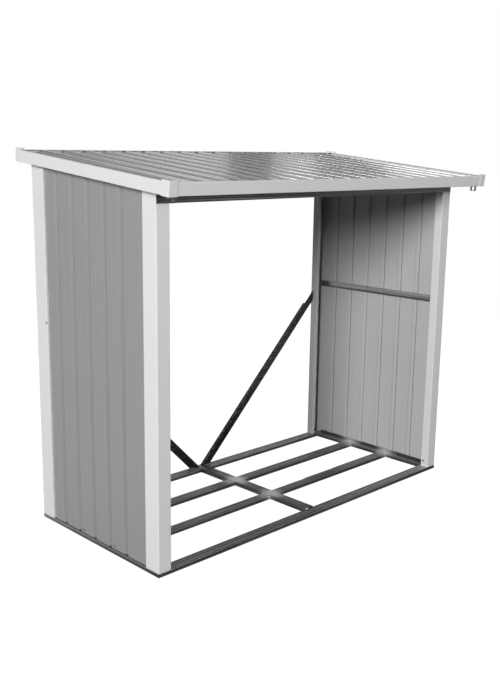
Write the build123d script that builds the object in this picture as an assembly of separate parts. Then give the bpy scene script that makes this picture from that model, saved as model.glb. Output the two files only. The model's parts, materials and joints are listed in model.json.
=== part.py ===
from build123d import *
import os
from math import atan2, cos, degrees, hypot, inf, pi, sin, tan

# Metal log store: an open bay between two ribbed side walls under a lean-to roof.
# Millimetres. X runs along the front, Y from front to back, Z up from the ground.
# The origin is on the ground, in the middle of the width and of the roof's depth.

# Overall sizes
base_width = 1712.0
base_depth = 756.0
roof_side_overhang = 59.0
roof_front_overhang = 139.0
roof_back_overhang = 12.0
roof_front_height = 1396.0
roof_back_height = 1493.0

# Sheet thicknesses
sheet_thickness = 0.9
post_thickness = 1.2
rail_thickness = 1.2
trim_thickness = 0.9
cap_thickness = 1.2
seat_clearance = 0.05
joint_gap = 0.3

# Folds of the sheet metal
bend_radius = 1.5
rib_bend_radius = 2.5
crease_limit = 47.0

# Rolled floor rails and joists
rail_width = 48.0
rail_height = 16.0
rail_lip = 9.0
rail_groove_width = 8.0
rail_groove_depth = 1.6
rail_groove_spacing = 15.0
upstand_height = 15.0
front_joist_place = 278.0
rear_joist_place = 500.0
splice_place = 454.0
splice_length = 200.0
splice_step = 6.0

# Corner posts
front_post_face = 58.0
back_post_face = 75.0
post_side = 75.0
post_return = 38.0
post_lip = 16.0

# Ribbed sheet, for walls and roof alike
rib_pitch = 100.0
rib_height = 9.0
rib_top_width = 12.0
rib_base_width = 28.0
wall_inset = 9.0
wall_edge_margin = 6.0
wall_first_rib = 151.0
wall_sheet_cover = 300.0
roof_edge_margin = 4.0
roof_sheet_cover = 400.0
lap_open_height = 3.0
crease_spacing = 20.0
crease_width = 4.0
crease_depth = 0.5

# Wall rails
mid_rail_height = 828.0
wall_rail_width = 28.0
wall_rail_depth = 15.0
wall_rail_end = 20.0

# Roof beams
front_beam_bottom = 1322.0
back_beam_bottom = 1404.0
beam_depth = 33.0

# Roof trims and corner caps
trim_height = 44.0
trim_lip = 15.0
cap_leg = 38.0
cap_crown = 6.0

# Back braces
brace_width = 38.0
brace_flange = 12.0
brace_foot_gap = 66.0
brace_top_height = 768.0
brace_tab = 34.0
brace_inset = 3.0

# Strap clip under each front corner of the roof
clip_place = 31.0
clip_length = 14.0
clip_tab = 12.0
clip_loop_width = 19.0
clip_loop_height = 18.0
clip_drop = 23.0
clip_mouth = 4.0
clip_bend_radius = 2.5

# Worked-out places
half_base = base_width / 2
half_roof = half_base + roof_side_overhang
roof_depth = roof_front_overhang + base_depth + roof_back_overhang
roof_rise = roof_back_height - roof_front_height
roof_angle = atan2(roof_rise, roof_depth)
cap_height = trim_height + 2 * cap_thickness
trim_lean = cap_height * sin(roof_angle)
roof_front = -(roof_depth + trim_lean) / 2
roof_length = hypot(roof_rise, roof_depth)
base_front = roof_front + roof_front_overhang
base_back = base_front + base_depth
base_middle = (base_front + base_back) / 2
rib_face = wall_inset + rib_height + sheet_thickness
pan_underside = -(cap_thickness + trim_thickness + rib_height + sheet_thickness + seat_clearance)


def bent_line(points, radii):
    """Line through the points, rounded at each of its bends."""
    if radii:
        return FilletPolyline(*points, radius=radii)
    return Line(*points)


def folded(points, thickness, radius=bend_radius, sharp_below=-inf):
    """Section of a folded sheet between a line of bends and the same line one thickness to the left."""
    headings = [atan2(by - ay, bx - ax) for (ax, ay), (bx, by) in zip(points, points[1:])]
    turns = [(after - before + pi) % (2 * pi) - pi for before, after in zip(headings, headings[1:])]
    befores = headings[:1] + headings
    afters = headings + headings[-1:]
    offset_points = []
    for (px, py), before, after in zip(points, befores, afters):
        reach = thickness / (1 + cos(after - before))
        across, up = sin(before) + sin(after), cos(before) + cos(after)
        offset_points.append((px - reach * across, py + reach * up))
    outside = radius + abs(thickness)
    radii, offset_radii = [], []
    for turn, (_, height) in zip(turns, points[1:-1]):
        sharp = abs(degrees(turn)) < crease_limit or height < sharp_below
        inside_first = turn * thickness < 0
        radii.append(0 if sharp else radius if inside_first else outside)
        offset_radii.append(0 if sharp else outside if inside_first else radius)
    line = bent_line(points, radii)
    offset_line = bent_line(offset_points, offset_radii)
    return make_face([line, offset_line, Line(line @ 0, offset_line @ 0), Line(line @ 1, offset_line @ 1)])


def flat(points):
    """Flat face inside a closed line of corners."""
    return make_face(Polyline(*points, close=True))


def along_x(face, start, end):
    """Solid of a Y-Z section between two X places."""
    return extrude(Plane.YZ.offset(start) * face, end - start, dir=(1, 0, 0))


def along_y(face, start, end):
    """Solid of an X-Z section between two Y places."""
    return extrude(Plane.XZ.offset(-start) * face, end - start, dir=(0, 1, 0))


def along_z(face, start, end):
    """Solid of an X-Y section between two heights."""
    return extrude(Plane.XY.offset(start) * face, end - start, dir=(0, 0, 1))


def block(low, high):
    """Plain box between two corners, used to cut and to join."""
    size = [h - l for l, h in zip(low, high)]
    middle = [(h + l) / 2 for l, h in zip(low, high)]
    return Pos(*middle) * Box(*size)


def roof_height(y, offset):
    """Height of the roof plane at a Y place, moved along its normal by an offset."""
    return roof_front_height + (y - roof_front) * tan(roof_angle) + offset / cos(roof_angle)


def under_roof(shape):
    """Cut a piece off along the underside of the roof sheet."""
    y_low, y_high = roof_front - roof_depth, roof_front + 2 * roof_depth
    z_low, z_high = roof_height(y_low, pan_underside), roof_height(y_high, pan_underside)
    above = [(y_low, z_low), (y_high, z_high), (y_high, 2 * roof_back_height), (y_low, 2 * roof_back_height)]
    return shape - along_x(flat(above), -half_roof, half_roof)


def on_roof(shape):
    """Place a piece drawn on a flat roof onto the sloping one."""
    return Pos(0, roof_front, roof_front_height) * Rot(degrees(roof_angle), 0, 0) * shape


def mirrored(shape):
    """The same piece on the other side of the store."""
    return mirror(shape, about=Plane.YZ)


def turned(shape):
    """The same piece turned half round on the base, for the other side of the store."""
    return Pos(0, base_middle, 0) * Rot(0, 0, 180) * Pos(0, -base_middle, 0) * shape


os.makedirs("parts", exist_ok=True)


def save(shape, name):
    """Write one piece to its own file."""
    export_step(shape, f"parts/{name}.step")


# Rolled channel of the floor, drawn across its width, with its lips on the ground
def channel(top, near=0, far=rail_width, foot=0, grooves=()):
    """Section between two faces; a raised foot and a lower top make one that nests in another."""
    line = [(near + rail_lip, foot), (near, foot), (near, top)]
    half = rail_groove_width / 2
    slope = rail_groove_depth
    for middle in grooves:
        line.append((middle - half, top))
        line.append((middle - half + slope, top - rail_groove_depth))
        line.append((middle + half - slope, top - rail_groove_depth))
        line.append((middle + half, top))
    line += [(far, top), (far, 0), (far - rail_lip, 0)]
    return folded(line, -rail_thickness, bend_radius, top / 2)


# Front and back rails, cut to a mitre at the corners
rail_inner_x = half_base - rail_width
side_rail_start = base_front + rail_width
side_rail_end = base_back - rail_width
front_mitre = [(-half_base, base_front), (half_base, base_front),
               (rail_inner_x, side_rail_start), (-rail_inner_x, side_rail_start)]
front_mitre = along_z(flat(front_mitre), 0, rail_height)
grooves = [(rail_width + side * rail_groove_spacing) / 2 for side in (-1, 1)]
rail_section = channel(rail_height, grooves=grooves)
front_rail = along_x(Pos(base_front, 0) * rail_section, -half_base, half_base) & front_mitre
save(front_rail, "front_floor_rail")
save(turned(front_rail), "back_floor_rail")

# Side rails close the mitres, each with an upstand that the wall sheet is screwed to
side_mitre = [(-half_base, base_front + joint_gap), (-rail_inner_x, side_rail_start + joint_gap),
              (-rail_inner_x, side_rail_end - joint_gap), (-half_base, base_back - joint_gap)]
side_mitre = along_z(flat(side_mitre), 0, rail_height)
side_rail = along_y(Pos(-half_base, 0) * rail_section, base_front, base_back) & side_mitre
upstand_low = (-half_base + rib_face, side_rail_start, rail_height - rail_thickness)
upstand_high = (-half_base + rib_face + rail_thickness, side_rail_end, rail_height + upstand_height)
side_rail += block(upstand_low, upstand_high)
save(side_rail, "left_floor_rail")
save(mirrored(side_rail), "right_floor_rail")


# Joists: the flanges stop at the side rails and the top laps over them to the upstand
lap_bottom = rail_height + seat_clearance
joist_top = lap_bottom + rail_thickness
flange_end = half_base - rail_width
lap_end = half_base - rib_face - rail_thickness


def floor_joist(place, start, end, section):
    """Length of joist between two X places."""
    middle = base_front + place
    body = along_x(Pos(middle - rail_width / 2, 0) * section, start, end)
    for side in (-1, 1):
        near, far = sorted((side * flange_end, side * half_base))
        body -= block((near, middle - rail_width, 0), (far, middle + rail_width, lap_bottom))
    return body


save(floor_joist(rear_joist_place, -lap_end, lap_end, channel(joist_top)), "rear_floor_joist")

# The front joist is two lengths: the left one, narrower, laps over a step in the right one
nest = rail_thickness + seat_clearance
splice_start = splice_place - splice_length
shoulder = splice_place + joint_gap
left_width = rail_width - splice_step
left_section = channel(joist_top, far=left_width)
tongue = [(rail_lip, 0), (0, 0), (0, joist_top), (left_width, joist_top)]
tongue = folded(tongue, -rail_thickness, bend_radius, joist_top / 2)
left_length = floor_joist(front_joist_place, -lap_end, splice_start - joint_gap, left_section)
left_length += floor_joist(front_joist_place, splice_start - nest, splice_place, tongue)
stepped = channel(joist_top - nest, near=nest, foot=nest)
step = channel(joist_top - nest / 2, near=nest / 2, foot=nest / 2)
right_length = floor_joist(front_joist_place, shoulder, lap_end, channel(joist_top))
right_length += floor_joist(front_joist_place, shoulder, shoulder + nest, step)
right_length += floor_joist(front_joist_place, splice_start, shoulder + nest, stepped)
save(left_length, "front_floor_joist_left")
save(right_length, "front_floor_joist_right")

# Crossbar over the joists, with flanges only between them
crossbar_low = joist_top + seat_clearance
crossbar_high = crossbar_low + rail_thickness
crossbar = block((-rail_width / 2, base_front + rail_width, crossbar_low),
                 (rail_width / 2, base_back, crossbar_high))
flange_stops = [base_front + rail_width]
for place in (front_joist_place, rear_joist_place):
    flange_stops += [base_front + place - rail_width / 2, base_front + place + rail_width / 2]
flange_stops.append(base_back - rail_width)
for start, end in zip(flange_stops[::2], flange_stops[1::2]):
    for side in (-1, 1):
        edge = side * rail_width / 2
        inner = side * (rail_width / 2 - rail_thickness)
        crossbar += block((min(edge, inner), start, 0), (max(edge, inner), end, crossbar_high))
save(crossbar, "floor_crossbar")


# Corner post: a hemmed side leg, the face, a return towards the bay and a lip that closes the box
def corner_post(face_width, beam_bottom):
    """Left post with its face towards -Y at y = 0."""
    hem = (-half_base + wall_inset - seat_clearance, post_side)
    side = (-half_base, post_side)
    corner = (-half_base, 0)
    face = (-half_base + face_width, 0)
    back = (-half_base + face_width, post_return)
    lip = (-half_base + face_width - post_lip, post_return)
    lower = along_z(folded([hem, side, corner, face, back, lip], post_thickness), rail_height, beam_bottom)
    upper = along_z(folded([hem, side, corner], post_thickness), beam_bottom, 2 * roof_back_height)
    return lower + upper


front_post = under_roof(Pos(0, base_front, 0) * corner_post(front_post_face, front_beam_bottom))
back_post = mirror(corner_post(back_post_face, back_beam_bottom), about=Plane.XZ)
back_post = under_roof(Pos(0, base_back, 0) * back_post)
save(front_post, "front_left_post")
save(mirrored(front_post), "front_right_post")
save(back_post, "back_left_post")
save(mirrored(back_post), "back_right_post")


# Ribbed sheet: flats joined by ribs, a rib at either end may lap another sheet's
def creases(start, end):
    """Corners of the fine lines that stiffen a flat, spread evenly over it."""
    count = int((end - start - 2 * crease_width) / crease_spacing) + 1
    corners = []
    for index in range(count):
        middle = (start + end) / 2 + (index - (count - 1) / 2) * crease_spacing
        corners += [(middle - crease_width / 2, 0), (middle, crease_depth), (middle + crease_width / 2, 0)]
    return corners


def ribbed_line(start, end, ribs, lap_under, lap_over, creased):
    """Surface line of a sheet, with h = 0 on the flats and ribs rising to rib_height."""
    slope_run = (rib_base_width - rib_top_width) / 2
    slope_length = hypot(slope_run, rib_height)
    side_shift = (sheet_thickness + seat_clearance) * slope_length / rib_height
    line = []
    flat_start = start
    if not lap_under:
        line.append((start, 0))
    for index, middle in enumerate(ribs):
        top, base, height = rib_top_width / 2, rib_base_width / 2, rib_height
        first_under = lap_under and index == 0
        last_over = lap_over and index == len(ribs) - 1
        if first_under:
            height = rib_height - sheet_thickness - seat_clearance
            base -= side_shift
            top = base - height * slope_run / rib_height
            line.append((middle - base + lap_open_height * slope_run / rib_height, lap_open_height))
        else:
            if creased:
                line += creases(flat_start, middle - base)
            line.append((middle - base, 0))
        line.append((middle - top, height))
        line.append((middle + top, height))
        if last_over:
            line.append((middle + base - lap_open_height * slope_run / rib_height, lap_open_height))
        else:
            line.append((middle + base, 0))
        flat_start = middle + base
    if not lap_over:
        if creased:
            line += creases(flat_start, end)
        line.append((end, 0))
    return line


# Side walls: two sheets a side, lapped on one rib, ribs towards the bay
wall_rib_count = int((base_depth - wall_first_rib - post_side - rib_base_width / 2) / rib_pitch) + 1
wall_ribs = [base_back - wall_first_rib - index * rib_pitch for index in reversed(range(wall_rib_count))]
wall_lap_rib = int(wall_sheet_cover / rib_pitch)
wall_start = base_front + wall_edge_margin
wall_end = base_back - wall_edge_margin
front_beam_notch = block((-half_roof, base_front, front_beam_bottom),
                         (half_roof, base_front + beam_depth + joint_gap, 2 * roof_back_height))
back_beam_notch = block((-half_roof, base_back - beam_depth - joint_gap, back_beam_bottom),
                        (half_roof, base_back, 2 * roof_back_height))


def wall_sheet(ribs, lap_under, lap_over):
    """Sheet of the left wall, still standing past the roof."""
    line = ribbed_line(wall_start, wall_end, ribs, lap_under, lap_over, True)
    section = folded(line, sheet_thickness, rib_bend_radius, rib_height / 2)
    section = Pos(-half_base + wall_inset, 0) * Rot(0, 0, 90) * mirror(section, about=Plane.XZ)
    return along_z(section, rail_height, 2 * roof_back_height)


def trimmed(sheet):
    """Cut a wall sheet to the roof and round the ends of the beams."""
    return under_roof(sheet) - front_beam_notch - back_beam_notch


# The right wall has a rib more, at its back, where the left wall has a wide flat at its front
lap_back = wall_sheet(wall_ribs[wall_lap_rib - 1:], True, False)
save(trimmed(wall_sheet(wall_ribs[1:wall_lap_rib], False, True)), "left_wall_front_sheet")
save(trimmed(lap_back), "left_wall_back_sheet")
save(trimmed(turned(lap_back)), "right_wall_front_sheet")
save(trimmed(turned(wall_sheet(wall_ribs[:wall_lap_rib], False, True))), "right_wall_back_sheet")


# Wall rails: channels on the inner faces of the ribs, one level and one under the roof
def wall_rail_outline(lift):
    web = -half_base + rib_face
    half = wall_rail_width / 2
    line = [(web + wall_rail_depth, lift - half), (web, lift - half)]
    line += [(web, lift + half), (web + wall_rail_depth, lift + half)]
    return folded(line, -rail_thickness)


mid_rail = along_y(wall_rail_outline(mid_rail_height), base_front + wall_rail_end, base_back - wall_rail_end)
save(mid_rail, "left_mid_rail")
save(mirrored(mid_rail), "right_mid_rail")

top_rail_start = base_front + beam_depth + joint_gap
top_rail_end = base_back - beam_depth - joint_gap
top_rail = on_roof(along_y(wall_rail_outline(pan_underside - wall_rail_width / 2), 0, roof_length))
top_rail &= block((-half_roof, top_rail_start, 0), (0, top_rail_end, 2 * roof_back_height))
save(top_rail, "left_top_rail")
save(mirrored(top_rail), "right_top_rail")


# Roof beams: channels across the store, on the posts and under the sheet
def roof_beam(face, direction, bottom):
    inner = face + direction * beam_depth
    line = [(inner, bottom), (face, bottom)]
    line += [(face, roof_height(face, pan_underside)), (inner, roof_height(inner, pan_underside))]
    beam_end = half_base - post_thickness - seat_clearance
    return along_x(folded(line, -direction * rail_thickness), -beam_end, beam_end)


save(roof_beam(base_front, 1, front_beam_bottom + seat_clearance), "front_roof_beam")
save(roof_beam(base_back, -1, back_beam_bottom + seat_clearance), "back_roof_beam")

# Roof sheets, drawn flat: across X, up the slope in Y, ribs upwards
roof_edge = cap_thickness + trim_thickness + roof_edge_margin
side_rib_count = int((half_roof - roof_edge - rib_base_width / 2) / rib_pitch)
roof_ribs = [index * rib_pitch for index in range(-side_rib_count, side_rib_count + 1)]
ribs_per_sheet = int(roof_sheet_cover / rib_pitch)
roof_pan = pan_underside + sheet_thickness
for index, first in enumerate(range(0, len(roof_ribs) - 1, ribs_per_sheet)):
    sheet_ribs = roof_ribs[first:first + ribs_per_sheet + 1]
    lap_over = first + ribs_per_sheet < len(roof_ribs) - 1
    line = ribbed_line(-half_roof + roof_edge, half_roof - roof_edge, sheet_ribs, first > 0, lap_over, False)
    section = Pos(0, roof_pan) * folded(line, -sheet_thickness, rib_bend_radius, rib_height / 2)
    save(on_roof(along_y(section, roof_edge, roof_length - roof_edge)), f"roof_sheet_{index + 1}")


# Roof trims: channels with lips over and under the edge of the sheet
def trim_section(edge, direction):
    """Trim section, drawn across from its outer face in the given direction."""
    top, bottom, lip_end = -cap_thickness, -cap_thickness - trim_height, edge + direction * trim_lip
    line = [(lip_end, top), (edge, top), (edge, bottom), (lip_end, bottom)]
    return folded(line, direction * trim_thickness)


rake = along_y(trim_section(-half_roof + cap_thickness, 1), cap_thickness, roof_length - cap_thickness)
rake = on_roof(rake)
save(rake, "left_roof_trim")
save(mirrored(rake), "right_roof_trim")

trim_reach = half_roof - cap_thickness - trim_thickness - seat_clearance
lip_reach = half_roof - cap_thickness - trim_lip - seat_clearance
trim_fold = trim_thickness + bend_radius


def end_trim(edge, direction):
    """Front or back trim: its lips stop at those of the side trims, its web runs on between them."""
    shape = along_x(trim_section(edge, direction), -lip_reach, lip_reach)
    low = min(edge, edge + direction * trim_thickness)
    shape += block((-trim_reach, low, -cap_thickness - trim_height + trim_fold),
                   (trim_reach, low + trim_thickness, -cap_thickness - trim_fold))
    return on_roof(shape)


save(end_trim(cap_thickness, 1), "front_roof_trim")
save(end_trim(roof_length - cap_thickness, -1), "back_roof_trim")


# Corner caps: folded covers over the trim ends, each leg crowned above the trim
def corner_cap():
    """Cap of the front left corner, drawn flat."""
    corners = [(0, -cap_height), (cap_leg, -cap_height), (cap_leg, cap_crown), (0, cap_crown)]
    leg = make_face(FilletPolyline(*corners, radius=[0, 0, cap_crown, cap_crown], close=True))
    front_leg = along_y(Pos(-half_roof, 0) * leg, 0, cap_thickness)
    side_leg = along_x(leg, -half_roof, -half_roof + cap_thickness)
    line = [(-half_roof + cap_leg, 0), (-half_roof, 0), (-half_roof, cap_leg)]
    walls = (front_leg + side_leg) & along_z(folded(line, -cap_thickness), -cap_height, cap_crown)
    plate = [(-half_roof + bend_radius, bend_radius), (-half_roof + cap_leg, 0), (-half_roof, cap_leg)]
    return walls + along_z(flat(plate), -cap_thickness, 0)


cap = corner_cap()
back_cap = Pos(0, roof_length, 0) * mirror(cap, about=Plane.XZ)
save(on_roof(cap), "front_left_cap")
save(mirrored(on_roof(cap)), "front_right_cap")
save(on_roof(back_cap), "back_left_cap")
save(mirrored(on_roof(back_cap)), "back_right_cap")


# Strap clips: a tab under the front trim's lower lip, curled into an open loop
def strap_clip():
    """Left clip, drawn flat."""
    tab_height = -cap_thickness - trim_height - seat_clearance
    tab_end = cap_thickness + trim_lip + clip_mouth
    loop_top = tab_height - clip_drop + clip_loop_height
    line = [(tab_end - clip_tab, tab_height), (tab_end, tab_height), (tab_end, tab_height - clip_drop)]
    line += [(tab_end + clip_loop_width, tab_height - clip_drop), (tab_end + clip_loop_width, loop_top)]
    line.append((tab_end + clip_mouth, loop_top))
    start = -half_roof + clip_place
    return along_x(folded(line, -cap_thickness, clip_bend_radius), start, start + clip_length)


clip = on_roof(strap_clip())
save(clip, "left_roof_clip")
save(mirrored(clip), "right_roof_clip")


# Back braces: channels from the middle of the back rail up to the back posts
def back_brace():
    """Right brace, its web facing the bay."""
    foot_x = brace_foot_gap / 2
    top_x = half_base - back_post_face - seat_clearance
    rise = brace_top_height - rail_height
    run = top_x - foot_x
    length = 2 * hypot(rise, run)
    angle = degrees(atan2(rise, run))
    web_front = base_back - brace_inset - brace_flange
    half = brace_width / 2
    line = [(web_front + brace_flange, -half), (web_front, -half), (web_front, half),
            (web_front + brace_flange, half)]
    bar = along_x(folded(line, -rail_thickness), 0, length)
    bar -= block((hypot(rise, run) - brace_tab, web_front + rail_thickness, -brace_width),
                 (length, base_back, brace_width))
    bar = Pos(foot_x, 0, rail_height) * Rot(0, -angle, 0) * Pos(-brace_width, 0, 0) * bar
    return bar & block((0, web_front, crossbar_high + seat_clearance), (top_x, base_back, roof_back_height))


brace = back_brace()
save(brace, "right_brace")
save(mirrored(brace), "left_brace")
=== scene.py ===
# %% [markdown]
# # Log store: the looks around the measured parts
# The log store is a lean-to of folded sheet: two ribbed walls, a ribbed roof, four
# posts, edge trims and a floor of dark rolled channels. All of that has an exact shape
# already, so this notebook only gives it paint, zinc, screws, light and a camera.

import json
from math import cos, pi, radians, sin

import bpy
from mathutils import Matrix, Vector
from mathutils.bvhtree import BVHTree

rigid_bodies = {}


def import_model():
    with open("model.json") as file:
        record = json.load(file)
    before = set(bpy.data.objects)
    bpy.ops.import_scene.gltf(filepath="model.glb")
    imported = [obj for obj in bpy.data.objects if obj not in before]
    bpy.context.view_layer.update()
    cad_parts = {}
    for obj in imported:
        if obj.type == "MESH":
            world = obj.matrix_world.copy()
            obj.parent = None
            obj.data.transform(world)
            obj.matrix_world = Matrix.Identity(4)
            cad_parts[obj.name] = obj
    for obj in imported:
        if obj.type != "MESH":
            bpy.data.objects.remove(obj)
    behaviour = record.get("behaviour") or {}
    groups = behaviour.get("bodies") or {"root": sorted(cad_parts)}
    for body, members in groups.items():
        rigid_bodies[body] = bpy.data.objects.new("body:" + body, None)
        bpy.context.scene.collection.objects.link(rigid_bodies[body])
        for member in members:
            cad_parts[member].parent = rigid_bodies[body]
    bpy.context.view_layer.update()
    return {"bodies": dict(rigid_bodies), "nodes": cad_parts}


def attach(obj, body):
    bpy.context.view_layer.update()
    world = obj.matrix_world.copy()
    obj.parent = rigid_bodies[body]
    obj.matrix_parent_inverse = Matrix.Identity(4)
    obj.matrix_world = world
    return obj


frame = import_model()
BODY = next(iter(frame["bodies"]))
MM = 0.001


# %% [markdown]
# The photograph was taken from the front left, a little above the roof's front edge.
# A camera could be aimed with a constraint, but a fixed place, heading, tilt and roll
# give exactly the same frame on every run, so the matrix is built from those numbers.

# %% Camera at the photograph's viewpoint
IMAGE_SIZE = (500, 700)
FOCAL_PIXELS = 897.5
OPTICAL_CENTRE = (233.3, 343.7)
CAMERA_PLACE = Vector((-2.713, -2.628, 1.491))
HEADING, TILT, ROLL = radians(43.75), radians(-12.08), radians(0.59)
SENSOR_WIDTH = 36.0

forward = Vector((sin(HEADING) * cos(TILT), cos(HEADING) * cos(TILT), sin(TILT)))
level_right = Vector((cos(HEADING), -sin(HEADING), 0.0))
level_up = level_right.cross(forward)
right = level_right * cos(ROLL) + level_up * sin(ROLL)
up = level_up * cos(ROLL) - level_right * sin(ROLL)

camera = bpy.data.objects.new("camera", bpy.data.cameras.new("camera"))
long_side = max(IMAGE_SIZE)
camera.data.sensor_width = SENSOR_WIDTH
camera.data.lens = SENSOR_WIDTH * FOCAL_PIXELS / long_side
camera.data.shift_x = (IMAGE_SIZE[0] / 2 - OPTICAL_CENTRE[0]) / long_side
camera.data.shift_y = (OPTICAL_CENTRE[1] - IMAGE_SIZE[1] / 2) / long_side
rotation = Matrix((right, up, -forward)).transposed().to_4x4()
camera.matrix_world = Matrix.Translation(CAMERA_PLACE) @ rotation
bpy.context.scene.collection.objects.link(camera)
bpy.context.scene.camera = camera
print("lens:", round(camera.data.lens, 2), "mm")

# %% [markdown]
# Every finish below is a small network of shader nodes. Wiring nodes by hand hides the
# idea behind the wires, so two helpers let a finish read like a sum: `Signal` is one
# socket that can be added or multiplied, and `Network.node` adds any other node.

# %% Helpers for node networks
class Signal:
    """One output socket. Sums and products of it add Math nodes."""

    def __init__(self, network, socket):
        self.network, self.socket = network, socket

    def maths(self, operation, *others):
        """A Math node with this signal as its first value."""
        values = dict(enumerate((self, *others)))
        return self.network.node("ShaderNodeMath", {"operation": operation}, values)

    def __add__(self, other):
        return self.maths("ADD", other)

    def __sub__(self, other):
        return self.maths("SUBTRACT", other)

    def __rsub__(self, other):
        return self.maths("MULTIPLY_ADD", -1.0, other)

    def __mul__(self, other):
        return self.maths("MULTIPLY", other)

    __radd__, __rmul__ = __add__, __mul__

    def above(self, limit):
        """1 above a limit, else 0."""
        return self.maths("GREATER_THAN", limit)

    def within(self, low, high):
        """1 between low and high, else 0."""
        return self.above(low) * self.maths("LESS_THAN", high)

    def ramp(self, low, high):
        """0 below low, 1 above high, smooth between them."""
        settings = {"data_type": "FLOAT", "interpolation_type": "SMOOTHSTEP"}
        sockets = {"Value": self, "From Min": low, "From Max": high}
        return self.network.node("ShaderNodeMapRange", settings, sockets, "Result")

    def along(self, direction):
        """How far a place is along a direction."""
        settings, sockets = {"operation": "DOT_PRODUCT"}, {0: self, 1: direction}
        return self.network.node("ShaderNodeVectorMath", settings, sockets, "Value")


class Network:
    """A node tree, filled through one method."""

    def __init__(self, tree):
        self.tree = tree
        tree.nodes.clear()

    def node(self, kind, settings=None, sockets=None, output=0):
        """Add a node: its settings first, then a value, link or list of links a socket."""
        made = self.tree.nodes.new(kind)
        for name, value in (settings or {}).items():
            setattr(made, name, value)
        for key, value in (sockets or {}).items():
            socket = self.socket(made.inputs, key)
            for item in value if isinstance(value, list) else [value]:
                if isinstance(item, Signal):
                    self.tree.links.new(item.socket, socket)
                else:
                    socket.default_value = item
        return Signal(self, self.socket(made.outputs, output)) if made.outputs else None

    @staticmethod
    def socket(sockets, key):
        """A socket by its number or by its name."""
        if isinstance(key, int):
            return sockets[key]
        return next(socket for socket in sockets if socket.enabled and socket.name == key)


def material(name):
    """A new material and its empty network."""
    made = bpy.data.materials.new(name)
    made.use_nodes = True
    return made, Network(made.node_tree)


def colour(red, green, blue):
    return (red, green, blue, 1.0)


def between(network, low, high, factor):
    """A colour between two others."""
    sockets = {"Factor": factor, "A": low, "B": high}
    return network.node("ShaderNodeMix", {"data_type": "RGBA"}, sockets, "Result")


def coordinates(network, kind="Object"):
    return network.node("ShaderNodeTexCoord", None, None, kind)


def cloud(network, place, scale, detail):
    """Noise from 0 to 1, of the given number of blobs a metre."""
    sockets = {"Vector": place, "Scale": scale, "Detail": detail, "Roughness": 0.5}
    return network.node("ShaderNodeTexNoise", None, sockets)


def drawn_cloud(network, stretch, detail):
    """Noise in long marks: a small factor of the stretch pulls it out along that axis."""
    sockets = {"Vector": coordinates(network), "Scale": stretch}
    place = network.node("ShaderNodeMapping", None, sockets)
    return cloud(network, place, 1.0, detail)


def bump(network, strength, distance, height, **under):
    """A bumped normal, laid over another one if that is given as Normal."""
    sockets = {"Strength": strength, "Distance": distance, "Height": height, **under}
    return network.node("ShaderNodeBump", None, sockets)


def finish(network, **sockets):
    """Close a network with a Principled surface; underscores stand for spaces."""
    named = {name.replace("_", " "): value for name, value in sockets.items()}
    surface = network.node("ShaderNodeBsdfPrincipled", None, named)
    network.node("ShaderNodeOutputMaterial", None, {"Surface": surface})


print("helpers ready")

# %% [markdown]
# Baked paint on rolled sheet looks flat at first, but it is never one colour: it has
# clouds where the coat is thicker, faint draw marks along the way the sheet ran
# through the rollers, and an orange-peel skin that breaks up its highlight. Three
# noises give these, all in object coordinates so that nothing slides on the part.

# %% Baked paint
ALONG_X, ALONG_Y, ALONG_Z = (0.7, 160.0, 160.0), (160.0, 0.7, 160.0), (160.0, 160.0, 0.7)
CLOUDS_A_METRE, PEEL_A_METRE = 2.6, 420.0
CLOUD_SHARE = 0.65
CLOUD_DULLING, MARK_DULLING = 0.05, 0.06
PEEL_STRENGTH, PEEL_HEIGHT, MARK_HEIGHT = 0.12, 0.2 * MM, 0.6
PAINT_SHINE = 0.35
WHITE_THIN, WHITE_THICK = colour(0.80, 0.803, 0.806), colour(0.86, 0.863, 0.866)
WHITE_ROUGHNESS = 0.33


def paint_base(network, draw):
    """Draw marks, the mix of thin and thick coat, and what both add to the roughness."""
    clouds = cloud(network, coordinates(network), CLOUDS_A_METRE, 3.0)
    marks = drawn_cloud(network, draw, 2.0)
    mix = clouds * CLOUD_SHARE + marks * (1.0 - CLOUD_SHARE)
    return marks, mix, marks * MARK_DULLING + clouds * CLOUD_DULLING


def paint_finish(network, coat, roughness, marks, metal=0.0, polish=0.0):
    """Close a paint's network, with orange peel over the coat where it isn't polished."""
    peel = cloud(network, coordinates(network), PEEL_A_METRE, 1.0) + marks * MARK_HEIGHT
    skin = bump(network, PEEL_STRENGTH, PEEL_HEIGHT, peel * (1.0 - polish))
    finish(network, Base_Color=coat, Metallic=metal, Roughness=roughness,
           Specular_IOR_Level=PAINT_SHINE, Normal=skin)


def white_paint(name, draw):
    """Off-white paint of the posts and trims."""
    made, network = material(name)
    marks, mix, uneven = paint_base(network, draw)
    coat = between(network, WHITE_THIN, WHITE_THICK, mix)
    paint_finish(network, coat, uneven + WHITE_ROUGHNESS, marks)
    return made


post_paint = white_paint("post_paint", ALONG_Z)
trim_paint = white_paint("trim_paint", ALONG_X)
print("white paints:", post_paint.name, trim_paint.name)
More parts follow.
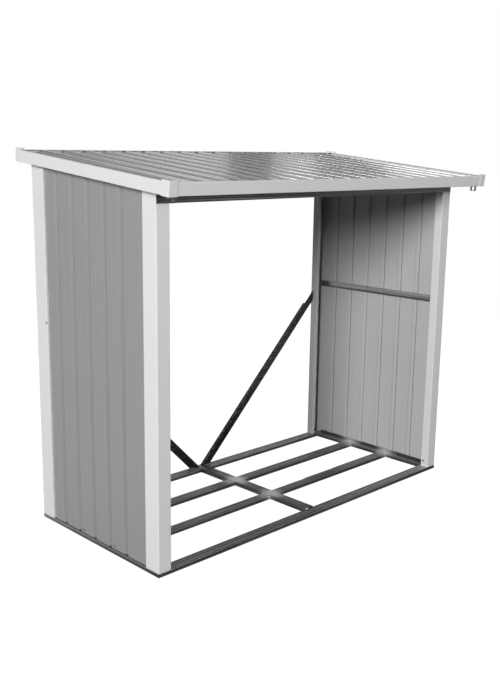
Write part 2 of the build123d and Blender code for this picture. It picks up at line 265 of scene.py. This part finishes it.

# %% [markdown]
# The sheets are grey outside and lighter on their inner side, which got one coat less.
# Seen from outside, a wall's ribs are grooves, and fine lines are pressed into its flats:
# both are darkened with painted shade. Inside, painted shadow runs along each rib's
# foot, and the fine lines get a fainter painted shade. The roof's outer coat gets a
# little grime in the same grey. On the roof the ribs stand up, and the rollers
# have burnished their tops: those mirror the studio where the flats look dull.

# %% Sheet paint, inner and outer side
SHEET_OUTER = (colour(0.315, 0.317, 0.319), colour(0.35, 0.352, 0.354))
SHEET_INNER = (colour(0.53, 0.53, 0.53), colour(0.59, 0.59, 0.59))
# The dark grey is painted shade on the walls' grooves, fine lines and rib feet; on the roof it is
# grime.
PAINTED_SHADE_AND_GRIME, BURNISHED = colour(0.22, 0.22, 0.22), colour(0.62, 0.62, 0.625)
GROOVE_PAINTED_SHADE, RIB_FOOT_PAINTED_SHADOW, ROOF_GRIME = 0.5, 0.9, 0.4
OUTER_LINE_PAINTED_SHADE, INNER_LINE_PAINTED_SHADE = 0.16, 0.056
GROOVE_DEPTHS = (1.0 * MM, 7.0 * MM)
RIB_FOOT_DEPTHS = (1.8 * MM, 4.5 * MM)
FINE_LINE_SPACING, FIRST_FINE_LINE = 20.0 * MM, 9.0 * MM
BURNISHED_DEPTHS = (5.5 * MM, 4.5 * MM)
ROOF_NORMAL = (0.0, -0.1062, 0.9943)
WALL_ROUGHNESS, ROOF_ROUGHNESS = 0.44, 0.34
BURNISHED_GLOSS, BURNISHED_METAL = 0.29, 0.9


def corners_along(word, direction):
    """How far the corners of all parts named with a word are along a direction."""
    parts = [part for name, part in frame["nodes"].items() if word in name]
    corners = [part.matrix_world @ corner.co for part in parts for corner in part.data.vertices]
    return [corner.dot(Vector(direction)) for corner in corners]


def sheet_coat(network, mix, outer):
    """Paint of both sides, chosen by outer, which is 1 on the outer side."""
    inside, outside = between(network, *SHEET_INNER, mix), between(network, *SHEET_OUTER, mix)
    return between(network, inside, outside, outer)


wall_paint, network = material("wall_paint")
marks, mix, uneven = paint_base(network, ALONG_Z)
place, facing = coordinates(network), coordinates(network, "Normal")
side = place.along((1, 0, 0))
outer = (facing.along((1, 0, 0)) * side).above(0.0)
depth = max(corners_along("right_wall_front_sheet", (1, 0, 0))) - side.maths("ABSOLUTE")
groove = depth.ramp(*GROOVE_DEPTHS)
first_line = min(corners_along("right_wall", (0, 1, 0))) + FIRST_FINE_LINE
turns = (place.along((0, 1, 0)) - first_line) * (2 * pi / FINE_LINE_SPACING)
lines = turns.maths("COSINE") * 0.5 + 0.5
# Painted shade, mixed towards the dark grey: grooves and fine lines outside, rib feet and fine
# lines inside.
outer_painted_shade = groove * GROOVE_PAINTED_SHADE + lines * (1.0 - groove) * OUTER_LINE_PAINTED_SHADE
inner_painted_shade = depth.within(*RIB_FOOT_DEPTHS) * RIB_FOOT_PAINTED_SHADOW + lines * INNER_LINE_PAINTED_SHADE
shade_painted_on_wall = outer_painted_shade * outer + inner_painted_shade * (1.0 - outer)
coat = between(network, sheet_coat(network, mix, outer), PAINTED_SHADE_AND_GRIME, shade_painted_on_wall)
paint_finish(network, coat, uneven + WALL_ROUGHNESS, marks)

roof_paint, network = material("roof_paint")
marks, mix, uneven = paint_base(network, ALONG_Y)
outer = coordinates(network, "Normal").along(ROOF_NORMAL).above(0.0)
rib_top = max(corners_along("roof_sheet", ROOF_NORMAL))
height = coordinates(network).along(ROOF_NORMAL)
burnished = height.ramp(*(rib_top - depth for depth in BURNISHED_DEPTHS)) * outer
coat = between(network, sheet_coat(network, mix, outer), PAINTED_SHADE_AND_GRIME, outer * ROOF_GRIME)
coat = between(network, coat, BURNISHED, burnished)
roughness = uneven + ROOF_ROUGHNESS - burnished * BURNISHED_GLOSS
paint_finish(network, coat, roughness, marks, burnished * BURNISHED_METAL, burnished)
print("sheet paints:", wall_paint.name, roof_paint.name)

# %% [markdown]
# The corner caps are moulded plastic, close to the trims in colour but duller, with a
# fine even grain instead of draw marks.

# %% Moulded plastic of the corner caps
PLASTIC_DARK, PLASTIC_LIGHT = colour(0.7896, 0.7943, 0.799), colour(0.84, 0.845, 0.85)
GRAIN_A_METRE, PLASTIC_CLOUDS_A_METRE = 700.0, 30.0
GRAIN_STRENGTH, GRAIN_HEIGHT, GRAIN_DULLING = 0.2, 0.2 * MM, 0.08
PLASTIC_ROUGHNESS = 0.46

corner_cap, network = material("corner_cap")
grain = cloud(network, coordinates(network), GRAIN_A_METRE, 2.0)
clouds = cloud(network, coordinates(network), PLASTIC_CLOUDS_A_METRE, 2.0)
finish(network, Base_Color=between(network, PLASTIC_DARK, PLASTIC_LIGHT, clouds),
       Roughness=grain * GRAIN_DULLING + PLASTIC_ROUGHNESS,
       Normal=bump(network, GRAIN_STRENGTH, GRAIN_HEIGHT, grain))
print("plastic:", corner_cap.name)

# %% [markdown]
# The floor, the rails and the braces are galvanised. Zinc freezes into flakes, called
# spangle, each with its own brightness, and rolling drags long faint streaks and a few
# bright scratches through them. The grooves of the floor rails get a painted highlight.
# Where a joist meets another member, the screws draw the sheet down into a shallow
# dish, and a painted highlight brightens the zinc around it.

# %% Galvanised steel
ZINC_DARK, ZINC_LIGHT = (0.08, 0.08, 0.085), (0.34, 0.34, 0.35)
ZINC_SCRATCH_AND_HIGHLIGHT, ZINC_GLARE = (0.70, 0.70, 0.70), colour(0.92, 0.92, 0.92)
FLAKES_A_METRE, ZINC_CLOUDS_A_METRE = 140.0, 6.0
FLAKE_SHARE, STREAK_SHARE, ZINC_CLOUD_SHARE = 0.2, 0.4, 0.4
SCRATCH_STRETCH, SCRATCH_LEVELS = 2.2, (0.58, 0.70)
RAIL_GROOVES, GROOVE_HIGHLIGHT = (13.8 * MM, 15.7 * MM), 0.8
SPANGLE_STRENGTH, SPANGLE_HEIGHT, FLAKE_HEIGHT = 0.25, 0.3 * MM, 0.3
DISH_RADIUS, DISH_DEPTH, DISH_TOP = 85.0 * MM, 7.0 * MM, 16.0 * MM
GLARE_BASE, GLARE_STREAKS = 0.65, 0.5
FLAKE_DULLING, STREAK_DULLING, GLARE_DULLING, ZINC_ROUGHNESS = 0.08, 0.1, 0.12, 0.26


def middle_of(name, direction):
    """Middle of a part along a direction, in metres."""
    places = corners_along(name, direction)
    return (min(places) + max(places)) / 2


joint_x = [middle_of(name, (1, 0, 0)) for name in ("floor_crossbar", "right_floor_rail")]
joint_y = [middle_of(name, (0, 1, 0)) for name in ("front_floor_joist_left", "rear_floor_joist")]
joints = [(x, y, DISH_TOP) for x in joint_x for y in joint_y]


def galvanised(name, draw, tone=1.0):
    """Zinc from the stretch of its draw marks; a tone under 1 is darker."""
    made, network = material(name)
    place = coordinates(network)
    cells = {"Vector": place, "Scale": FLAKES_A_METRE}
    cells = network.node("ShaderNodeTexVoronoi", None, cells, "Color")
    flake = network.node("ShaderNodeSeparateColor", None, {"Color": cells})
    streaks = drawn_cloud(network, draw, 3.0)
    clouds = cloud(network, place, ZINC_CLOUDS_A_METRE, 3.0)
    scratches = drawn_cloud(network, tuple(SCRATCH_STRETCH * part for part in draw), 1.0)
    level = flake * FLAKE_SHARE + streaks * STREAK_SHARE + clouds * ZINC_CLOUD_SHARE
    # Painted highlight: a bright band along the rail grooves, in the same colour as the
    # scratches.
    grooves = place.along((0, 0, 1)).within(*RAIL_GROOVES) * GROOVE_HIGHLIGHT
    bright = scratches.ramp(*SCRATCH_LEVELS).maths("MAXIMUM", grooves)
    zincs = (ZINC_DARK, ZINC_LIGHT, ZINC_SCRATCH_AND_HIGHLIGHT)
    dark, light, scratch_and_highlight = (colour(*(part * tone for part in zinc)) for zinc in zincs)
    zinc = between(network, between(network, dark, light, level), scratch_and_highlight, bright)
    glare = 0.0
    for joint in joints:
        settings, sockets = {"operation": "DISTANCE"}, {0: place, 1: joint}
        away = network.node("ShaderNodeVectorMath", settings, sockets, "Value")
        glare = glare + (1.0 - away.ramp(0.0, DISH_RADIUS))
    skin = bump(network, SPANGLE_STRENGTH, SPANGLE_HEIGHT, streaks + flake * FLAKE_HEIGHT)
    dulling = flake * FLAKE_DULLING + streaks * STREAK_DULLING + glare * GLARE_DULLING
    # Painted highlight: around each joint the zinc colour is mixed towards near-white.
    shine = glare * (streaks * GLARE_STREAKS + GLARE_BASE)
    finish(network, Base_Color=between(network, zinc, ZINC_GLARE, shine), Metallic=1.0,
           Roughness=dulling + ZINC_ROUGHNESS,
           Normal=bump(network, 1.0, DISH_DEPTH, 1.0 - glare, Normal=skin))
    return made


zinc_along_x = galvanised("zinc_along_x", ALONG_X)
zinc_along_y = galvanised("zinc_along_y", ALONG_Y)
brace_zinc = galvanised("brace_zinc", ALONG_X, 0.35)
# Painted shade: the beam's zinc is darker, for the shade under the fascia.
beam_zinc_painted_shade = galvanised("beam_zinc_painted_shade", ALONG_X, 0.7)
print("zinc:", zinc_along_x.name, zinc_along_y.name, brace_zinc.name, beam_zinc_painted_shade.name)

# %% [markdown]
# Each measured part keeps its shape and only gets its finish. A part's name says which:
# the longest matching word wins, so `front_floor_rail` isn't taken for a plain `rail`.

# %% Give every part its finish
FINISHES = {
    "wall": wall_paint,
    "roof_sheet": roof_paint,
    "post": post_paint,
    "roof_trim": trim_paint,
    "cap": corner_cap,
    "clip": zinc_along_x,
    "beam": beam_zinc_painted_shade,
    "brace": brace_zinc,
    "joist": zinc_along_x,
    "rail": zinc_along_y,
    "crossbar": zinc_along_y,
    "front_floor_rail": zinc_along_x,
    "back_floor_rail": zinc_along_x,
}
for name, part in frame["nodes"].items():
    word = max((word for word in FINISHES if word in name), key=len)
    part.data.materials.clear()
    part.data.materials.append(FINISHES[word])
    for face in part.data.polygons:
        face.use_smooth = False
print("finished:", len(frame["nodes"]), "parts")

# %% [markdown]
# Screws hold the sheets and rails together. Each one is found by a ray that runs
# towards the part it holds, so its head always seats on the real surface. Modelling
# every head by hand would repeat one shape, so a node group puts it on marked points.
#
# The table gives the left side's screws: the part, the place in millimetres where the
# ray starts, and its heading. The right side has the same ones, turned over.

# %% Screws on marked points
OUTWARD, INWARD, BACKWARD, DOWNWARD = (-1, 0, 0), (1, 0, 0), (0, 1, 0), (0, 0, -1)
SIDE_SCREWS = [
    ("front_{}_post", (0, -292, 44), OUTWARD),
    ("back_{}_post", (-795, 0, 38), BACKWARD),
    ("back_{}_post", (-1000, 370, 828), INWARD),
    ("{}_mid_rail", (0, -250, 830), OUTWARD),
    ("{}_mid_rail", (0, 364, 830), OUTWARD),
    ("{}_wall_front_sheet", (-1000, -40, 28), INWARD),
    ("{}_wall_back_sheet", (-1000, 160, 28), INWARD),
    ("{}_wall_back_sheet", (-1000, 360, 28), INWARD),
    ("{}_brace", (-768, 0, 780), BACKWARD),
    ("{}_brace", (-42, 0, 40), BACKWARD),
    ("{}_floor_rail", (-832, -50, 200), DOWNWARD),
    ("{}_floor_rail", (-832, 191, 200), DOWNWARD),
]
CROSSING_SCREWS = [(9, -30, 200), (-9, -54, 200), (9, 195, 200), (-9, 171, 200)]
HEAD_RADIUS, HEAD_TOP_RADIUS, HEAD_HEIGHT = 3.6 * MM, 1.98 * MM, 2.2 * MM
WASHER_RADIUS, WASHER_HEIGHT = 5.0 * MM, 0.8 * MM
SEAT_DEPTH = 0.2 * MM
HEAD_SIDES = 16

fixings = [(name.format(word), (turn * x, y, z), (turn * along, back, lift))
           for word, turn in (("left", 1), ("right", -1))
           for name, (x, y, z), (along, back, lift) in SIDE_SCREWS]
fixings += [("floor_crossbar", place, DOWNWARD) for place in CROSSING_SCREWS]


def surface_point(name, start, heading):
    """Where a ray from a place in millimetres first meets a part."""
    mesh = frame["nodes"][name].data
    corners = [corner.co for corner in mesh.vertices]
    tree = BVHTree.FromPolygons(corners, [face.vertices for face in mesh.polygons])
    met = tree.ray_cast(Vector(start) * MM, Vector(heading))[0]
    assert met, f"no surface of {name} from {start}"
    return met


def head_group():
    """Node group: a flanged head on every point, turned to its heading."""
    group = bpy.data.node_groups.new("screw_heads", "GeometryNodeTree")
    for name, way, kind in (("Geometry", "INPUT", "NodeSocketGeometry"),
                            ("Finish", "INPUT", "NodeSocketMaterial"),
                            ("Geometry", "OUTPUT", "NodeSocketGeometry")):
        group.interface.new_socket(name, in_out=way, socket_type=kind)
    shape = Network(group)
    points = shape.node("NodeGroupInput", None, None, "Geometry")
    steel = shape.node("NodeGroupInput", None, None, "Finish")
    head = shape.node("GeometryNodeMeshCone", None, {
        "Vertices": HEAD_SIDES, "Radius Top": HEAD_TOP_RADIUS,
        "Radius Bottom": HEAD_RADIUS, "Depth": HEAD_HEIGHT})
    washer = shape.node("GeometryNodeMeshCylinder", None, {
        "Vertices": HEAD_SIDES, "Radius": WASHER_RADIUS, "Depth": WASHER_HEIGHT})
    both = shape.node("GeometryNodeJoinGeometry", None, {0: [head, washer]})
    named = {"data_type": "FLOAT_VECTOR"}
    heading = shape.node("GeometryNodeInputNamedAttribute", named, {"Name": "heading"})
    turn = shape.node("FunctionNodeAlignRotationToVector", {"axis": "Z"}, {"Vector": heading})
    placed = shape.node("GeometryNodeInstanceOnPoints", None, {
        "Points": points, "Instance": both, "Rotation": turn})
    real = shape.node("GeometryNodeRealizeInstances", None, {"Geometry": placed})
    covered = {"Geometry": real, "Material": steel}
    covered = shape.node("GeometryNodeSetMaterial", None, covered)
    shape.node("NodeGroupOutput", None, {"Geometry": covered})
    return group


def screws(name, fixings, steel):
    """One piece with a head at every fixing, its bottom just inside the surface."""
    marks = bpy.data.meshes.new(name)
    seats = [surface_point(*fixing) + Vector(fixing[2]) * SEAT_DEPTH for fixing in fixings]
    marks.from_pydata(seats, [], [])
    heading = marks.attributes.new("heading", "FLOAT_VECTOR", "POINT")
    for mark, fixing in zip(heading.data, fixings):
        mark.vector = -Vector(fixing[2])
    piece = bpy.data.objects.new(name, marks)
    bpy.context.scene.collection.objects.link(piece)
    modifier = piece.modifiers.new("heads", "NODES")
    modifier.node_group = head_group()
    inputs = modifier.node_group.interface.items_tree
    modifier[next(item for item in inputs if item.name == "Finish").identifier] = steel
    bpy.context.view_layer.update()
    evaluated = piece.evaluated_get(bpy.context.evaluated_depsgraph_get())
    made = bpy.data.meshes.new_from_object(evaluated)
    piece.modifiers.clear()
    piece.data = made
    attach(piece, BODY)
    print(name, len(fixings), "screws,", len(made.polygons), "faces")


screws("screws", fixings, galvanised("screw_zinc", ALONG_X))

# %% [markdown]
# The store stands on a plain pale floor in front of a pale backdrop. To the camera both
# are white. To ordinary light they are only a faint fill, so that the roof can shade
# what is under it. To mirror rays the studio is dark, with a bright backdrop low down
# behind the store, three bright panels overhead and one in front at the right. Rib tops
# on the roof show the backdrop and its two dark bands, rib slopes show the panels.

# %% Floor and world
WHITE = colour(1.0, 1.0, 1.0)
FLOOR_REACH = 12.0
FLOOR_MATT, FLOOR_SHADOWED = colour(0.08, 0.08, 0.08), colour(0.9, 0.9, 0.9)
FLOOR_GLOW, GLOW_SHARE = 1.14, 0.88
FLOOR_BEHIND, FLOOR_IN_FRONT = (0.2, 2.2), (3.0, 6.0)
FILL, BACKDROP = 0.03, 1.0
STUDIO_DARK, STUDIO_BRIGHT = 0.12, 1.0
BACKDROP_TOP, BACKDROP_EDGE = (sin(radians(15)), sin(radians(25))), (-0.1, 0.3)
BACKDROP_LEFT, LEFT_LEVEL = (24.0, 46.0), 0.6
DARK_BANDS = ((44.1, 46.8), (49.6, 53.9))
WIDE_PANEL, WIDE_PANEL_TOP = (0.58, 0.73), 0.745
NARROW_PANELS = ((0.776, 0.801), (0.848, 0.90))
PANEL_SIDES, PANEL_LEVEL = (-30.0, -8.0), 0.85
FRONT_PANEL_SIDES, FRONT_PANEL_HEIGHTS, FRONT_LEVEL = (116.0, 132.0), (-0.3, 0.12), 0.5


def place_parts(network, place):
    """The three parts of a place."""
    sockets = {"Vector": place}
    return (network.node("ShaderNodeSeparateXYZ", None, sockets, axis) for axis in "XYZ")


def azimuth_of(x, y):
    """Degrees from the back towards the right."""
    return x.maths("ARCTAN2", y) * (180 / pi)


def for_rays(network, kind, others, these):
    """One shader for a kind of ray and another for all others."""
    fac = network.node("ShaderNodeLightPath", None, None, kind)
    return network.node("ShaderNodeMixShader", None, {"Fac": fac, 1: others, 2: these})


floor_mesh = bpy.data.meshes.new("floor")
corners = [(x * FLOOR_REACH, y * FLOOR_REACH, 0) for x, y in ((-1, -1), (1, -1), (1, 1), (-1, 1))]
floor_mesh.from_pydata(corners, [], [(0, 1, 2, 3)])
floor = bpy.data.objects.new("floor", floor_mesh)
bpy.context.scene.collection.objects.link(floor)

floor_material, network = material("pale_floor")
x, y, _ = place_parts(network, coordinates(network))
behind = (y - x).ramp(*FLOOR_BEHIND)
in_front = azimuth_of(x, y).within(*FRONT_PANEL_SIDES) * (x - y).ramp(*FLOOR_IN_FRONT)
mirrored = behind * (STUDIO_BRIGHT - STUDIO_DARK) + in_front * FRONT_LEVEL + STUDIO_DARK
glow, to_mirror = (
    network.node("ShaderNodeEmission", None, {"Color": WHITE, "Strength": strength})
    for strength in (FLOOR_GLOW, mirrored))
matt, shadowed = (
    network.node("ShaderNodeBsdfDiffuse", None, {"Color": tone})
    for tone in (FLOOR_MATT, FLOOR_SHADOWED))
mix = {"Fac": GLOW_SHARE, 1: shadowed, 2: glow}
to_camera = network.node("ShaderNodeMixShader", None, mix)
surface = for_rays(network, "Is Glossy Ray", matt, to_mirror)
surface = for_rays(network, "Is Camera Ray", surface, to_camera)
network.node("ShaderNodeOutputMaterial", None, {"Surface": surface})
floor_mesh.materials.append(floor_material)

world = bpy.data.worlds.new("studio")
bpy.context.scene.world = world
world.use_nodes = True
network = Network(world.node_tree)
x, y, z = place_parts(network, coordinates(network, "Generated"))
azimuth = azimuth_of(x, y)
backdrop = azimuth.ramp(*BACKDROP_LEFT) * (1.0 - LEFT_LEVEL) + LEFT_LEVEL
for band in DARK_BANDS:
    backdrop = backdrop * (1.0 - azimuth.within(*band))
backdrop = backdrop * (1.0 - z.ramp(*BACKDROP_TOP)) * y.ramp(*BACKDROP_EDGE)
overhead = z.ramp(*WIDE_PANEL) * (1.0 - z.above(WIDE_PANEL_TOP))
for panel in NARROW_PANELS:
    overhead = overhead + z.within(*panel)
overhead = overhead * azimuth.within(*PANEL_SIDES)
in_front = azimuth.within(*FRONT_PANEL_SIDES) * z.within(*FRONT_PANEL_HEIGHTS)
panels = overhead * PANEL_LEVEL + in_front * FRONT_LEVEL
mirrored = backdrop * (STUDIO_BRIGHT - STUDIO_DARK) + panels + STUDIO_DARK
fill, to_mirror, to_camera = (
    network.node("ShaderNodeBackground", None, {"Color": WHITE, "Strength": strength})
    for strength in (FILL, mirrored, BACKDROP))
surface = for_rays(network, "Is Glossy Ray", fill, to_mirror)
surface = for_rays(network, "Is Camera Ray", surface, to_camera)
network.node("ShaderNodeOutputWorld", None, {"Surface": surface})
print("floor:", 2 * FLOOR_REACH, "m wide")

# %% [markdown]
# In the photograph a large main light stands to the left, a little in front and low,
# so it reaches the right wall's inside through the open front, and the roof's front
# edge draws a slanting shade on that wall. A weaker light in front lifts the fronts,
# and another one above lifts the roof.

# %% Lamps
LAMP_AIM = Vector((0, 0, 0.7))


def area_lamp(name, heading, distance, size, level):
    """A far lamp that gives the given level on a surface that faces it."""
    toward = Vector(heading).normalized()
    data = bpy.data.lights.new(name, "AREA")
    data.shape, data.size = "DISK", size
    data.energy = level * (pi * distance) ** 2
    lamp = bpy.data.objects.new(name, data)
    lamp.location = toward * distance + LAMP_AIM
    lamp.rotation_euler = toward.to_track_quat("Z", "Y").to_euler()
    bpy.context.scene.collection.objects.link(lamp)
    print(name, [round(value, 2) for value in lamp.location], "power", round(data.energy))


area_lamp("main_light", (-0.89, -0.38, 0.27), 11.0, 2.8, 0.84)
area_lamp("front_light", (0.15, -0.93, 0.25), 9.0, 3.0, 0.28)
area_lamp("top_light", (0.2, 0.35, 0.9), 7.0, 3.0, 0.30)

# %% [markdown]
# The colours leave the renderer as they were written. The box around everything is
# kept beside the box of the measured parts, so that a piece that sticks out shows.

bpy.context.scene.view_settings.view_transform = "Standard"
